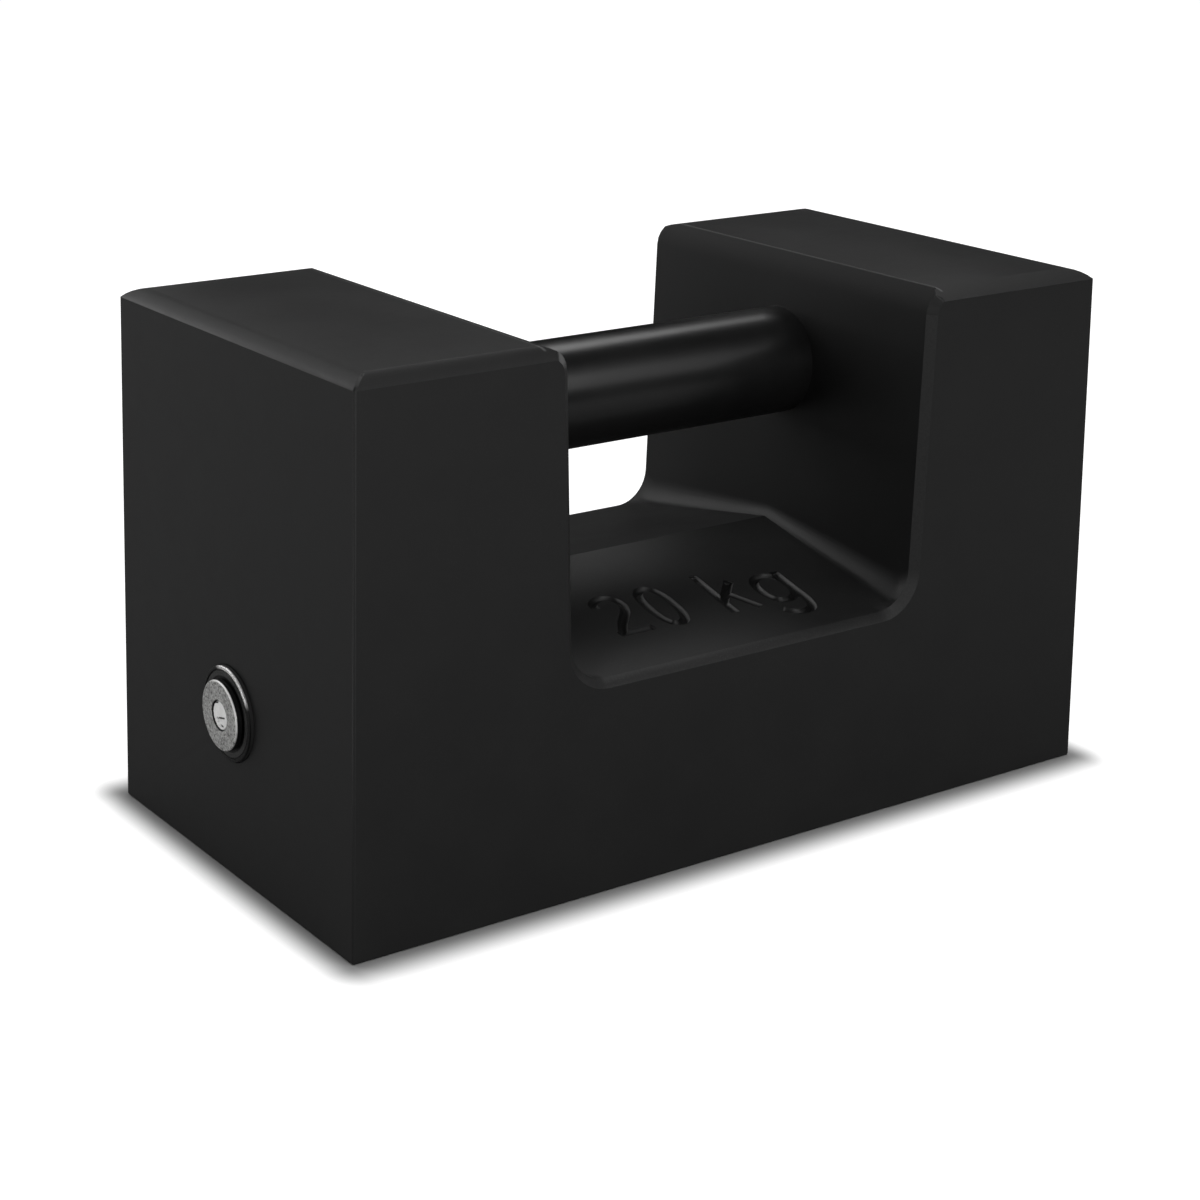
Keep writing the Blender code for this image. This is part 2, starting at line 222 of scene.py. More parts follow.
# Studio
FLOOR_SIZE = 10.0
FLOOR_GREY = 0.3
SHADOW_SQUEEZE = 1.3           # the painted shadow ring round the block is narrower at the ends
SHADOW_REACH = 15 * MM         # the camera sees plain white floor this far from the block; nearer, the grey floor is a painted shadow over the real one
MIRROR_REACH = 450 * MM        # and the paint mirrors its full MIRROR_GLOW this far from it
MIRROR_GLOW = 0.18
MIRROR_BACK = 0.15             # share of that glow behind the block, beyond MIRROR_TURN
MIRROR_TURN = 150 * MM
OBJECT_MIDDLE = Vector((0, 0, 0.07))
LAMP_DISTANCE = 1.2
# name, azimuth and elevation in degrees, width, height, power
SOFTBOXES = (
    ("front_softbox", 0, 14, 0.4, 0.4, 5.6),
    ("front_left_softbox", 330, 12, 0.4, 0.4, 1.7),
    ("front_right_softbox", 30, 30, 0.45, 0.45, 1.4),
    ("upper_right_softbox", 30, 46, 0.45, 0.45, 1.4),
    ("back_right_softbox", 135, 52, 0.45, 0.45, 2.4),
    ("back_softbox", 180, 52, 0.45, 0.45, 1.4),
    ("back_left_softbox", 225, 52, 0.45, 0.45, 1.7),
    ("left_softbox", 210, 30, 0.45, 0.45, 2.5),
    ("low_left_softbox", 210, 12, 0.4, 0.4, 1.1),
    ("low_back_softbox", 180, 12, 0.4, 0.4, 1.0),
    ("overhead_softbox", 0, 80, 0.4, 0.4, 3.2),
    ("right_softbox", 95, 14, 0.4, 0.4, 2.5),
    ("side_softbox", 262, 4, 0.4, 0.4, 3.5),
)


def deselect_all():
    bpy.ops.object.select_all(action="DESELECT")


def choose(obj):
    """Make one object the only selected one."""
    deselect_all()
    obj.select_set(True)
    bpy.context.view_layer.objects.active = obj


def open_edit(obj, mode="FACE"):
    """Enter edit mode on one object, with nothing selected in it."""
    choose(obj)
    bpy.ops.object.mode_set(mode="EDIT")
    bpy.ops.mesh.select_mode(type=mode)
    bpy.ops.mesh.select_all(action="DESELECT")


def close_edit():
    bpy.ops.object.mode_set(mode="OBJECT")


def pick_faces(obj, wanted):
    """Select the faces that pass the test, in edit mode."""
    work = bmesh.from_edit_mesh(obj.data)
    for face in work.faces:
        face.select_set(wanted(face))
    work.select_flush_mode()
    bmesh.update_edit_mesh(obj.data)


def pick_edges(obj, wanted):
    """Select the edges that pass the test, in edit mode."""
    work = bmesh.from_edit_mesh(obj.data)
    for edge in work.edges:
        edge.select_set(wanted(edge))
    bmesh.update_edit_mesh(obj.data)


def apply_place(obj):
    choose(obj)
    bpy.ops.object.transform_apply(location=True, rotation=True, scale=True)


def remove(obj):
    bpy.data.objects.remove(obj, do_unlink=True)


def cut(target, cutter):
    """Cut one object out of another and throw the cutter away."""
    choose(target)
    boolean = target.modifiers.new("cut", "BOOLEAN")
    boolean.operation = "DIFFERENCE"
    boolean.solver = "EXACT"
    boolean.use_self = True
    boolean.object = cutter
    bpy.ops.object.modifier_apply(modifier=boolean.name)
    remove(cutter)


def clear_slivers(obj):
    """Merge the very short edges that cuts leave."""
    open_edit(obj, "VERT")
    bpy.ops.mesh.select_all(action="SELECT")
    bpy.ops.mesh.remove_doubles(threshold=SLIVER)
    bpy.ops.mesh.dissolve_degenerate(threshold=SLIVER)
    close_edit()


def smooth_by_angle(obj, angle):
    """Smooth the round faces, keep the creases and let the large faces set the shading."""
    choose(obj)
    bpy.ops.object.shade_smooth_by_angle(angle=angle)
    weighted = obj.modifiers.new("large faces first", "WEIGHTED_NORMAL")
    weighted.keep_sharp = True
    weighted.weight = 80
    bpy.ops.object.modifier_apply(modifier=weighted.name)


def height_at(obj, x, y):
    """Height of an object's upper surface at a place."""
    hit, place, _, _ = obj.ray_cast(Vector((x, y, 1.0)), Vector((0, 0, -1)))
    if not hit:
        raise RuntimeError("nothing under that place")
    return place.z


# Places and sizes of the CAD pieces
bar_low, bar_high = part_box("grab_bar")
BAR_RADIUS = (bar_high.z - bar_low.z) / 2
BAR_HEIGHT = (bar_high.z + bar_low.z) / 2
SOCKET_RADIUS = BAR_RADIUS + SOCKET_CLEARANCE
plug_low, plug_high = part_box("adjusting_plug")
PLUG_HEIGHT = (plug_high.z + plug_low.z) / 2
HEAD_RADIUS = (plug_high.z - plug_low.z) / 2
washer_low, washer_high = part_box("plug_washer")
WASHER_RADIUS = (washer_high.z - washer_low.z) / 2
SEAT_RADIUS = WASHER_RADIUS + SOCKET_CLEARANCE
SEAT_X = washer_high.x + SOCKET_CLEARANCE
seal_low, seal_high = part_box("seal_pellet")
SEAL_RADIUS = (seal_high.z - seal_low.z) / 2

# The front slope of the notch floor, between two places from front to back
SLOPE_NEAR = -50 * MM
SLOPE_FAR = -10 * MM
near_height = height_at(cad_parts["weight_body"], 0, SLOPE_NEAR)
far_height = height_at(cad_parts["weight_body"], 0, SLOPE_FAR)
SLOPE = atan2(far_height - near_height, SLOPE_FAR - SLOPE_NEAR)
SLOPE_FOOT = near_height + (FIGURES_FOOT - SLOPE_NEAR) * tan(SLOPE)


def from_bar_axis(point):
    return Vector((point.y, point.z - BAR_HEIGHT)).length


def from_plug_axis(point):
    if point.x > 0:
        return 1.0
    return Vector((point.y, point.z - PLUG_HEIGHT)).length


def body_casting():
    """The block and its notch: the CAD shape with its creases rounded and the bar joined in."""
    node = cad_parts["weight_body"]
    body = bpy.data.objects.new("body_casting", node.data.copy())
    scene.collection.objects.link(body)
    open_edit(body, "VERT")
    bpy.ops.mesh.select_all(action="SELECT")
    bpy.ops.mesh.remove_doubles(threshold=MERGE)
    bpy.ops.mesh.dissolve_limited(angle_limit=FLAT_ANGLE)
    round_creases(body)
    close_edit()
    cut_figures(body)
    close_socket_gaps(body)
    grid_tops(body)
    smooth_by_angle(body, BODY_SMOOTH)
    soften_shading(body)
    return body


def grid_tops(body):
    """Cut the flat tops into a grid, which carries their soft shading."""
    open_edit(body)
    cuts = [((side * x * MM, 0, 0), (1, 0, 0)) for side in (-1, 1) for x in TOP_CUTS_X]
    cuts += [((0, side * y * MM, 0), (0, 1, 0)) for side in (-1, 1) for y in TOP_CUTS_Y]
    for place, direction in cuts:
        pick_faces(body, lambda face: face.normal.z > FACING_UP and all(
            vert.co.z > TOP_LEVEL for vert in face.verts))
        bpy.ops.mesh.bisect(plane_co=place, plane_no=direction)
    close_edit()


def corners(mesh, face):
    """Each corner of a face, as its number and its place."""
    for index in face.loop_indices:
        yield index, mesh.vertices[mesh.loops[index].vertex_index].co


def soften_shading(body):
    """Set the shading of the tops, the front rolls and the lips, as of paint that has run together.

    The shapes stay as they are: only the normals of the faces' corners are set.
    """
    mesh = body.data
    flat = [vert.co for vert in mesh.vertices if vert.co.z > TOP_LEVEL]
    edge = (max(place.x for place in flat), max(place.y for place in flat))
    normals = [corner.vector.copy() for corner in mesh.corner_normals]
    rolls = [face for face in mesh.polygons if is_front_roll(face, edge[1])]
    turn_rolls(mesh, rolls, edge[1], normals)
    turn_lips(mesh, normals)
    tilt_tops(mesh, {face.index for face in rolls}, edge, normals)
    mesh.normals_split_custom_set([tuple(normal) for normal in normals])


def is_front_roll(face, edge_y):
    along_front = face.center.y < -edge_y and abs(face.center.x) > LIP_INSIDE
    round_part = FACING_ASIDE < face.normal.z < FACING_UP and abs(face.normal.x) < FACING_ASIDE
    return along_front and round_part and face.center.z > ROLL_BOTTOM


def turn_rolls(mesh, rolls, edge_y, normals):
    """Turn the front rolls' normals from the top's edge down to the front face."""
    low = min(mesh.vertices[index].co.y for face in rolls for index in face.vertices)
    for face in rolls:
        side = "right" if face.center.x > 0 else "left"
        for index, place in corners(mesh, face):
            share = max(0, (place.y + edge_y) / (low + edge_y))
            angle = ROLL_START[side] + (ROLL_END[side] - ROLL_START[side]) * share
            normals[index] = Vector((0, -sin(angle), cos(angle)))


def turn_lips(mesh, normals):
    """Turn the lips' normals from the tops down to the notch's walls."""
    for face in mesh.polygons:
        on_lip = LIP_INSIDE < abs(face.center.x) < LIP_OUTSIDE and face.center.z > LIP_BOTTOM
        if not on_lip or abs(face.normal.y) > FACING_ASIDE or face.normal.z > FACING_UP:
            continue
        side = -1 if face.center.x > 0 else 1
        for index, place in corners(mesh, face):
            share = min(1, (cad_box[1].z - place.z) / (cad_box[1].z - LIP_BOTTOM))
            angle = LIP_START + (LIP_END - LIP_START) * share
            normals[index] = Vector((side * sin(angle), 0, cos(angle)))


def tilt_tops(mesh, rolls, edge, normals):
    """Tilt the normals at the tops' level outwards, more so the nearer they are to an edge."""
    for face in mesh.polygons:
        on_lip = LIP_INSIDE < abs(face.center.x) < LIP_OUTSIDE
        if face.index in rolls or (on_lip and face.normal.z <= FACING_UP):
            continue
        for index, place in corners(mesh, face):
            if place.z < TOP_LEVEL:
                continue
            along = max(0, 1 - (edge[0] - abs(place.x)) / TOP_FADE_X) ** TOP_FADE_CURVE
            across = max(0, 1 - (edge[1] - abs(place.y)) / TOP_FADE_Y) ** TOP_FADE_CURVE
            front = TOP_TILT_FRONT["right" if place.x > 0 else "left"]
            along *= TOP_TILT_X if place.x > 0 else -TOP_TILT_X
            across *= TOP_TILT_BACK if place.y > 0 else -front
            normals[index] = Vector((along, across, 1)).normalized()


def close_socket_gaps(body):
    """Open the bar's sockets and lead their rims in to the bar, as a small fillet of paint."""
    open_edit(body)
    pick_faces(body, lambda face: all(
        from_bar_axis(vert.co) < SOCKET_RADIUS + MERGE for vert in face.verts))
    bpy.ops.mesh.delete(type="FACE")
    bpy.ops.mesh.select_mode(type="EDGE")
    for side in (-1, 1):
        pick_edges(body, lambda edge: edge.is_boundary and all(
            vert.co.x * side > 0 for vert in edge.verts))
        bpy.ops.mesh.extrude_region_move()
        shrink = (BAR_RADIUS - SOCKET_CLEARANCE) / SOCKET_RADIUS
        bpy.ops.transform.resize(
            value=(1, shrink, shrink), center_override=(0, 0, BAR_HEIGHT))
        bpy.ops.transform.translate(value=(-side * JOINT_FILLET, 0, 0))
    close_edit()


def round_creases(body):
    """Round the creases of the crown, the notch and the plug's seat a little.

    The block's upright corners and its foot have their bevels from the CAD, and the mouth's
    chamfers stay crisp.
    """
    corner = Vector((cad_box[1].x, cad_box[1].y))

    def is_crease(edge):
        if not edge.is_manifold:
            return False
        middle = (edge.verts[0].co + edge.verts[1].co) / 2
        upright = abs(middle.x) > corner.x - CORNER_ZONE and (
            abs(middle.y) > corner.y - CORNER_ZONE)
        foot = middle.z < FOOT_ZONE
        mouth = abs(middle.y) > MOUTH_DEPTH and abs(middle.x) < MOUTH_REACH and (
            MOUTH_FOOT < middle.z < MOUTH_TOP)
        socket = from_bar_axis(middle) < SOCKET_RADIUS + 1 * MM
        hollow = from_plug_axis(middle) < SEAT_RADIUS - 1 * MM or (
            from_plug_axis(middle) < SEAT_RADIUS + 2 * MM and middle.x > SEAT_X + MERGE)
        if upright or foot or mouth or socket or hollow:
            return False
        return edge.calc_face_angle() > CREASE_ANGLE

    bpy.ops.mesh.select_mode(type="EDGE")
    pick_edges(body, is_crease)
    bpy.ops.mesh.bevel(offset=CREASE_ROUND, segments=2, profile=0.5, clamp_overlap=True)
    mark_worn_and_lit_edges(body)


def mark_worn_and_lit_edges(body):
    """Mark the rounded creases, which the bevel leaves selected, and the mouth's chamfers, for thin
    paint and a painted highlight.
    """
    work = bmesh.from_edit_mesh(body.data)
    mark = work.faces.layers.float.new(EDGE_MARK)
    for face in work.faces:
        middle = face.calc_center_median()
        slanted = MOUTH_FACING[0] < abs(face.normal.y) < MOUTH_FACING[1]
        chamfer = slanted and abs(middle.y) > MOUTH_DEPTH and MOUTH_FOOT < middle.z < MOUTH_TOP
        face[mark] = CREASE_MARK if face.select else CHAMFER_MARK if chamfer else 0.0
    bmesh.update_edit_mesh(body.data)


def cut_figures(body):
    """Groove the figures into the front slope."""
    strokes = [(name, [Vector(point) * MM for point in points], False)
               for name, points in FIGURE_STROKES.items()]
    strokes += [(name, ring_points(*ring), True) for name, ring in FIGURE_RINGS.items()]
    tools = [groove_tool(name, points, closed) for name, points, closed in strokes]
    deselect_all()
    for tool in tools:
        tool.select_set(True)
    bpy.context.view_layer.objects.active = tools[0]
    bpy.ops.object.join()
    tool = tools[0]
    tool.rotation_euler.x = SLOPE
    tool.location = (0, FIGURES_FOOT, SLOPE_FOOT)
    apply_place(tool)
    cut(body, tool)
    clear_slivers(body)


def ring_points(centre, half_width, half_height):
    """Points round an oval, from its right side."""
    points = []
    for number in range(RING_POINTS):
        angle = 2 * pi * number / RING_POINTS
        across = abs(cos(angle)) ** (2 / RING_SQUARENESS) * half_width
        up = abs(sin(angle)) ** (2 / RING_SQUARENESS) * half_height
        across = across if cos(angle) > 0 else -across
        up = up if sin(angle) > 0 else -up
        points.append((Vector(centre) + Vector((across, up))) * MM)
    return points


def groove_tool(name, points, closed):
    """A round-nosed tool along one stroke, lying flat with the slope's surface at height 0."""
    curve = bpy.data.curves.new(name, "CURVE")
    curve.dimensions = "3D"
    curve.bevel_depth = GROOVE_RADIUS
    curve.bevel_resolution = 4
    curve.resolution_u = 6
    curve.use_fill_caps = True
    stroke = curve.splines.new("BEZIER")
    stroke.bezier_points.add(len(points) - 1)
    stroke.use_cyclic_u = closed
    for knot, point in zip(stroke.bezier_points, points):
        lean = FIGURE_SLANT * (point.y - FIGURE_MIDDLE)
        knot.co = (point.x + lean, point.y, GROOVE_CENTRE)
        knot.handle_left_type = "AUTO"
        knot.handle_right_type = "AUTO"
    tool = bpy.data.objects.new(name, curve)
    scene.collection.objects.link(tool)
    choose(tool)
    bpy.ops.object.convert(target="MESH")
    tool = bpy.context.object
    open_edit(tool, "VERT")
    bpy.ops.mesh.select_all(action="SELECT")
    bpy.ops.mesh.remove_doubles(threshold=MERGE)
    bpy.ops.mesh.normals_make_consistent(inside=False)
    close_edit()
    return tool


def turned_piece(name, profile, place, closed=False):
    """Extrude a circle point by point through a (radius, height) profile that points along -X."""
    first_radius, first_height = profile[0]
    deselect_all()
    bpy.ops.mesh.primitive_circle_add(
        vertices=TURNED_SIDES, radius=first_radius, location=(0, 0, first_height),
        fill_type="NOTHING")
    piece = bpy.context.object
    piece.name = name
    piece.data.name = name
    apply_place(piece)
    bpy.ops.object.mode_set(mode="EDIT")
    bpy.ops.mesh.select_mode(type="EDGE")
    bpy.ops.mesh.select_all(action="SELECT")
    if not closed:
        bpy.ops.mesh.edge_face_add()
        bpy.ops.mesh.select_all(action="SELECT")
    radius, height = first_radius, first_height
    rings = profile[1:] + profile[:1] if closed else profile[1:]
    for next_radius, next_height in rings:
        bpy.ops.mesh.extrude_region_move(
            TRANSFORM_OT_translate={"value": (0, 0, next_height - height)})
        share = next_radius / radius
        bpy.ops.transform.resize(value=(share, share, 1), center_override=(0, 0, next_height))
        radius, height = next_radius, next_height
    bpy.ops.mesh.select_all(action="SELECT")
    bpy.ops.mesh.remove_doubles(threshold=MERGE)
    bpy.ops.mesh.normals_make_consistent(inside=False)
    close_edit()
    piece.rotation_euler = (0, -pi / 2, 0)
    piece.location = place
    apply_place(piece)
    return piece


def grab_bar():
    """The bar with its chamfered ends, which sit in the towers' sockets."""
    half = (bar_high.x - bar_low.x) / 2
    narrow = BAR_RADIUS - BAR_END_CHAMFER
    profile = [
        (narrow, -half), (BAR_RADIUS, BAR_END_CHAMFER - half),
        (BAR_RADIUS, half - BAR_END_CHAMFER), (narrow, half)]
    bar = turned_piece("grab_bar_enamelled", profile, (0, 0, BAR_HEIGHT))
    smooth_by_angle(bar, BAR_SMOOTH)
    return bar


def plug_washer():
    """The ring under the plug's head, with a rolled outer rim and a raised band; its material
    paints a highlight on the rim.
    """
    bore = min(from_plug_axis(vert.co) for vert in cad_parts["plug_washer"].data.vertices)
    top = washer_high.x - washer_low.x
    profile = [(bore, 0), (WASHER_RADIUS, 0)]
    for step in range(5):
        angle = pi / 2 * step / 4
        profile.append((
            WASHER_RADIUS - RIM_ROUND * (1 - cos(angle)), top - RIM_ROUND * (1 - sin(angle))))
    low = top - 2 * RIM_STEP
    profile += [
        (WASHER_RADIUS - RIM_WIDTH, top), (WASHER_RADIUS - RIM_WIDTH - RIM_STEP, low),
        (BAND_OUTSIDE + RIM_STEP, low), (BAND_OUTSIDE, top - RIM_STEP / 2),
        (BAND_INSIDE, top - RIM_STEP / 2), (BAND_INSIDE - RIM_STEP, low),
        (bore + RIM_STEP, low), (bore, low - RIM_STEP)]
    washer = turned_piece(
        "washer_blackened", profile, (washer_high.x, 0, PLUG_HEIGHT), closed=True)
    smooth_by_angle(washer, PLUG_SMOOTH)
    return washer


def plug():
    """The plug's flat head with the seal's round recess, over its plain shank."""
    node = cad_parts["adjusting_plug"]
    length = plug_high.x - plug_low.x
    shank = max(from_plug_axis(vert.co) for vert in node.data.vertices
                if vert.co.x > plug_high.x - SHANK_CHAMFER - MERGE)
    under = length - HEAD_THICKNESS
    profile = [
        (shank - SHANK_CHAMFER, 0), (shank, SHANK_CHAMFER), (shank, under), (HEAD_RADIUS, under)]
    for step in range(4):
        angle = pi / 2 * step / 3
        profile.append((
            HEAD_RADIUS - HEAD_ROUND * (1 - cos(angle)), length - HEAD_ROUND * (1 - sin(angle))))
    recess = SEAL_RADIUS + SEAL_GAP
    profile += [(recess + HEAD_ROUND / 2, length), (recess, length - HEAD_ROUND / 2),
                (recess, length - RECESS_DEPTH), (recess / 2, length - RECESS_DEPTH)]
    head = turned_piece("plug_head_bare", profile, (plug_high.x, 0, PLUG_HEIGHT))
    smooth_by_angle(head, PLUG_SMOOTH)
    return head


def seal():
    """The pressed seal: a low dome with an uneven rim and the marks of the tools."""
    depth = seal_high.x - seal_low.x - SEAL_UNEVEN
    crown = depth - SEAL_CROWN
    outer = SEAL_RADIUS - SEAL_UNEVEN
    stem = SEAL_RADIUS * SEAL_STEM
    profile = [
        (stem, 0), (stem, crown - SEAL_THICKNESS), (outer, crown - SEAL_THICKNESS),
        (outer, crown - SEAL_CROWN), (outer - SEAL_BEVEL, crown), (stem, depth - SEAL_CROWN / 3),
        (SEAL_RADIUS * SEAL_SHOULDER, depth), (SEAL_RADIUS * SEAL_TIP, depth)]
    pellet = turned_piece("seal_pressed", profile, (seal_high.x, 0, PLUG_HEIGHT))
    open_edit(pellet, "VERT")
    pick_rim(pellet)
    bpy.ops.transform.vertex_random(offset=SEAL_UNEVEN, uniform=0.6, seed=7)
    close_edit()
    for name, place, size, turn, sides in SEAL_MARKS:
        deselect_all()
        bpy.ops.mesh.primitive_cone_add(
            vertices=sides, radius1=MARK_TAPER[0], radius2=MARK_TAPER[1], depth=1,
            rotation=(0, 0, pi / 4))
        mark = bpy.context.object
        mark.name = name
        apply_place(mark)
        centre = (seal_low.x, place[0], PLUG_HEIGHT + place[1])
        mark.scale = (size[1], size[0], MARK_DEPTH * 2)
        mark.rotation_euler.y = pi / 2
        mark.location = centre
        apply_place(mark)
        open_edit(mark)
        bpy.ops.mesh.select_all(action="SELECT")
        bpy.ops.transform.rotate(value=turn, orient_axis="X", center_override=centre)
        bpy.ops.mesh.normals_make_consistent(inside=False)
        close_edit()
        cut(pellet, mark)
    clear_slivers(pellet)
    smooth_by_angle(pellet, PLUG_SMOOTH)
    return pellet


def pick_rim(pellet):
    """Select the seal's rim, in edit mode."""
    work = bmesh.from_edit_mesh(pellet.data)
    for vert in work.verts:
        front = vert.co.x < seal_low.x + SEAL_CROWN + 0.3 * MM
        vert.select_set(front and from_plug_axis(vert.co) > SEAL_RADIUS * 0.6)
    work.select_flush_mode()
    bmesh.update_edit_mesh(pellet.data)


def camera():
    bpy.ops.object.camera_add()
    view = bpy.context.object
    view.name = "photo_view"
    forward = Vector((sin(CAMERA_YAW) * cos(CAMERA_PITCH), cos(CAMERA_YAW) * cos(CAMERA_PITCH),
                      -sin(CAMERA_PITCH)))
    level_right = Vector((cos(CAMERA_YAW), -sin(CAMERA_YAW), 0))
    level_up = level_right.cross(forward)
    right = level_right * cos(CAMERA_ROLL) + level_up * sin(CAMERA_ROLL)
    up = level_up * cos(CAMERA_ROLL) - level_right * sin(CAMERA_ROLL)
    turn = Matrix((right, up, -forward)).transposed()
    view.matrix_world = Matrix.Translation(CAMERA_PLACE) @ turn.to_4x4()
    view.data.sensor_width = SENSOR
    view.data.lens = FOCAL_PIXELS * SENSOR / IMAGE
    view.data.shift_x = (IMAGE / 2 - CENTRE_PIXEL[0]) / IMAGE
    view.data.shift_y = (CENTRE_PIXEL[1] - IMAGE / 2) / IMAGE
    view.data.clip_start = NEAREST_SEEN
    view.data.clip_end = FARTHEST_SEEN
    scene.camera = view


def new_material(name):
    """An empty node material with its shader, and a socket that gives places on the object."""
    material = bpy.data.materials.new(name)
    material.use_nodes = True
    nodes = material.node_tree.nodes
    place = nodes.new("ShaderNodeTexCoord").outputs["Object"]
    return material, nodes, material.node_tree.links, nodes["Principled BSDF"], place


def new_group(name, inputs, outputs):
    """An empty shader node group. Inputs are (name, default), outputs are names of values."""
    group = bpy.data.node_groups.new(name, "ShaderNodeTree")
    group.interface.new_socket("Place", in_out="INPUT", socket_type="NodeSocketVector")
    for label, value in inputs:
        socket = group.interface.new_socket(label, in_out="INPUT", socket_type="NodeSocketFloat")
        socket.default_value = value
    for label in outputs:
        group.interface.new_socket(label, in_out="OUTPUT", socket_type="NodeSocketFloat")
    given = group.nodes.new("NodeGroupInput")
    result = group.nodes.new("NodeGroupOutput")
    return group, group.nodes, group.links, given.outputs, result.inputs


def place_group(nodes, links, group, place, **values):
    """Put a group into a material, with its own values."""
    node = nodes.new("ShaderNodeGroup")
    node.node_tree = group
    links.new(place, node.inputs["Place"])
    for label, value in values.items():
        node.inputs[label.replace("_", " ").title()].default_value = value
    return node.outputs


def math_node(nodes, links, operation, first, second=None):
    node = nodes.new("ShaderNodeMath")
    node.operation = operation
    for number, value in enumerate((first, second)):
        if value is None:
            continue
        if isinstance(value, bpy.types.NodeSocket):
            links.new(value, node.inputs[number])
        else:
            node.inputs[number].default_value = value
    return node.outputs[0]


def vector_node(nodes, links, operation, first, second=None):
    node = nodes.new("ShaderNodeVectorMath")
    node.operation = operation
    links.new(first, node.inputs[0])
    if second is not None:
        node.inputs[1].default_value = second
    return node.outputs["Value" if operation in ("LENGTH", "DOT_PRODUCT") else "Vector"]


def split_node(nodes, links, place):
    """The three parts of a place or a direction."""
    node = nodes.new("ShaderNodeSeparateXYZ")
    links.new(place, node.inputs[0])
    return node.outputs


def noise_node(nodes, links, place, size, detail):
    node = nodes.new("ShaderNodeTexNoise")
    node.inputs["Detail"].default_value = detail
    node.inputs["Roughness"].default_value = 0.6
    links.new(place, node.inputs["Vector"])
    if isinstance(size, bpy.types.NodeSocket):
        links.new(math_node(nodes, links, "DIVIDE", 1, size), node.inputs["Scale"])
    else:
        node.inputs["Scale"].default_value = 1 / size
    return node.outputs["Fac"]


def range_node(nodes, links, value, low, high, to_low=0.0, to_high=1.0):
    """Map a value from low..high to to_low..to_high, with soft ends."""
    node = nodes.new("ShaderNodeMapRange")
    node.interpolation_type = "SMOOTHSTEP"
    links.new(value, node.inputs["Value"])
    ends = {"From Min": low, "From Max": high, "To Min": to_low, "To Max": to_high}
    for label, given in ends.items():
        if isinstance(given, bpy.types.NodeSocket):
            links.new(given, node.inputs[label])
        else:
            node.inputs[label].default_value = given
    return node.outputs["Result"]


def mix_colour(nodes, links, share, first, second):
    node = nodes.new("ShaderNodeMix")
    node.data_type = "RGBA"
    links.new(share, node.inputs["Factor"])
    for label, value in (("A", first), ("B", second)):
        socket = [each for each in node.inputs if each.name == label and each.type == "RGBA"][0]
        if isinstance(value, bpy.types.NodeSocket):
            links.new(value, socket)
        else:
            socket.default_value = (*value, 1)
    return [each for each in node.outputs if each.type == "RGBA"][0]


def add_bump(nodes, links, shader, height, distance, strength):
    bump = nodes.new("ShaderNodeBump")
    bump.inputs["Distance"].default_value = distance
    bump.inputs["Strength"].default_value = strength
    links.new(height, bump.inputs["Height"])
    links.new(bump.outputs["Normal"], shader.inputs["Normal"])


def paint_skin_group():
    """Orange peel over the slow unevenness of a casting, and the tone that goes with it."""
    group, nodes, links, given, result = new_group(
        "paint_skin", (("Peel Size", 0.0012), ("Cast Size", 0.02), ("Cast Share", 0.5)),
        ("Height", "Tone"))
    peel = noise_node(nodes, links, given["Place"], given["Peel Size"], 2)
    cast = noise_node(nodes, links, given["Place"], given["Cast Size"], 4)
    share = math_node(nodes, links, "MULTIPLY", cast, given["Cast Share"])
    links.new(math_node(nodes, links, "ADD", peel, share), result["Height"])
    links.new(range_node(nodes, links, cast, 0.3, 0.7), result["Tone"])
    return group


def worn_and_lit_edge_group():
    """Where the paint is thin and carries a painted highlight: the edges marked on the mesh, broken
    up by grain.
    """
    group, nodes, links, given, result = new_group(
        "worn_and_lit_edges", (("Wear", 0.5), ("Grain Size", 0.0015)), ("Mask",))
    edge = nodes.new("ShaderNodeAttribute")
    edge.attribute_name = EDGE_MARK
    grain = noise_node(nodes, links, given["Place"], given["Grain Size"], 5)
    broken = range_node(nodes, links, grain, 0.35, 0.62, 0.6, 1.0)
    worn_and_lit = math_node(nodes, links, "MULTIPLY", edge.outputs["Fac"], broken)
    links.new(math_node(nodes, links, "MULTIPLY", worn_and_lit, given["Wear"]), result["Mask"])
    return group


def fine_dust_group():
    """Sparse pale specks, most of them on surfaces that face up."""
    group, nodes, links, given, result = new_group(
        "fine_dust", (("Amount", 0.3), ("Speck Size", 0.0008)), ("Mask",))
    speck = noise_node(nodes, links, given["Place"], given["Speck Size"], 1)
    patch = noise_node(nodes, links, given["Place"], 0.03, 3)
    facing = nodes.new("ShaderNodeNewGeometry").outputs["Normal"]
    upward = range_node(nodes, links, split_node(nodes, links, facing)["Z"], -0.2, 1.0, 0.25, 1.0)
    specks = range_node(nodes, links, speck, 0.62, 0.72)
    patches = range_node(nodes, links, patch, 0.35, 0.7, 0.2, 1.0)
    dust = math_node(nodes, links, "MULTIPLY", specks, patches)
    dust = math_node(nodes, links, "MULTIPLY", dust, upward)
    links.new(math_node(nodes, links, "MULTIPLY", dust, given["Amount"]), result["Mask"])
    return group


def pitting_group():
    """Fine grain and small pits, as on bare metal that has been blasted or has rusted a little."""
    group, nodes, links, given, result = new_group(
        "pitting", (("Grain Size", 0.0006), ("Pit Size", 0.0011)), ("Height", "Pits", "Mottle"))
    grain = noise_node(nodes, links, given["Place"], given["Grain Size"], 4)
    spots = noise_node(nodes, links, given["Place"], given["Pit Size"], 2)
    pits = range_node(nodes, links, spots, 0.56, 0.68)
    depth = math_node(nodes, links, "SUBTRACT", grain, pits)
    links.new(depth, result["Height"])
    links.new(pits, result["Pits"])
    links.new(range_node(nodes, links, grain, 0.3, 0.7), result["Mottle"])
    return group


